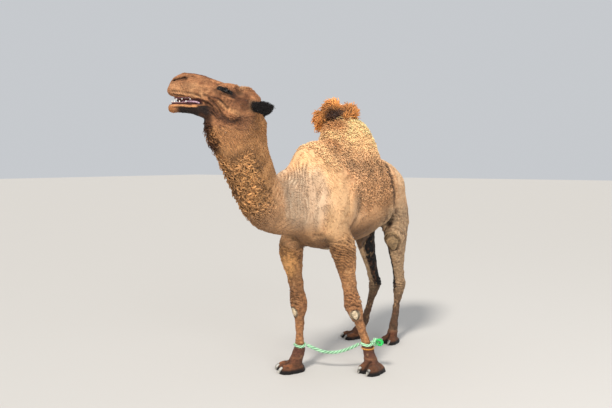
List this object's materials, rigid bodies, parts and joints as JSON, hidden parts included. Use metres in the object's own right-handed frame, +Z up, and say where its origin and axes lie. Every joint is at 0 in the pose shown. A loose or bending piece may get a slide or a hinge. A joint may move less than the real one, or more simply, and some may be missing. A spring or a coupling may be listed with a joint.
{
  "type": "dromedary camel",
  "caption": "Life-size standing dromedary camel, head raised and turned to its right with the mouth a little open, forelegs joined by a rope hobble.",
  "frame": {"origin": "middle of the plan outline, on the floor under the soles", "axes": "-Y the way the trunk faces, +X the animal's left, +Z up"},
  "size_m": [0.8259, 2.7441, 2.2469],
  "materials": {
    "coat": "short sandy tan hair, woolly in ridges on the hump, flank and front of the neck",
    "face": "short reddish brown hair, darker round the eye and on the lips",
    "dark_hair": "black-brown fuzzy hair",
    "tuft_wool": "long tangled orange-brown wool",
    "leg": "very short brown hair over wrinkled skin, bare grey pads on the knees",
    "foot": "dark brown short hair with a black edge round the sole",
    "nail": "dull dark horn with a paler tip",
    "eye": "wet and dark",
    "tooth": "ivory with yellow-brown edges",
    "tongue": "moist pink",
    "rope": "twisted mint-green synthetic strands, frayed at the knot",
    "ankle_cord": "thin orange-brown twisted cord"
  },
  "bodies": {
    "root": {"ankle_cord": "ankle_cord", "head": "face", "hobble_knot": "rope", "hobble_loop_left": "rope", "hobble_loop_right": "rope", "hobble_span": "rope", "hump": "coat", "hump_tuft": "tuft_wool", "left_ear": "dark_hair", "left_eye": "eye", "left_fore_nail_inner": "nail", "left_fore_nail_outer": "nail", "left_forefoot": "foot", "left_foreleg": "leg", "left_hind_nail_inner": "nail", "left_hind_nail_outer": "nail", "left_hindfoot": "foot", "left_hindleg": "leg", "lower_jaw": "face", "lower_teeth": "tooth", "neck": "coat", "right_ear": "dark_hair", "right_eye": "eye", "right_fore_nail_inner": "nail", "right_fore_nail_outer": "nail", "right_forefoot": "foot", "right_foreleg": "leg", "right_hind_nail_inner": "nail", "right_hind_nail_outer": "nail", "right_hindfoot": "foot", "right_hindleg": "leg", "tail": "coat", "tail_tassel": "dark_hair", "tongue": "tongue", "trunk": "coat", "upper_teeth": "tooth"}
  },
  "joints": []
}
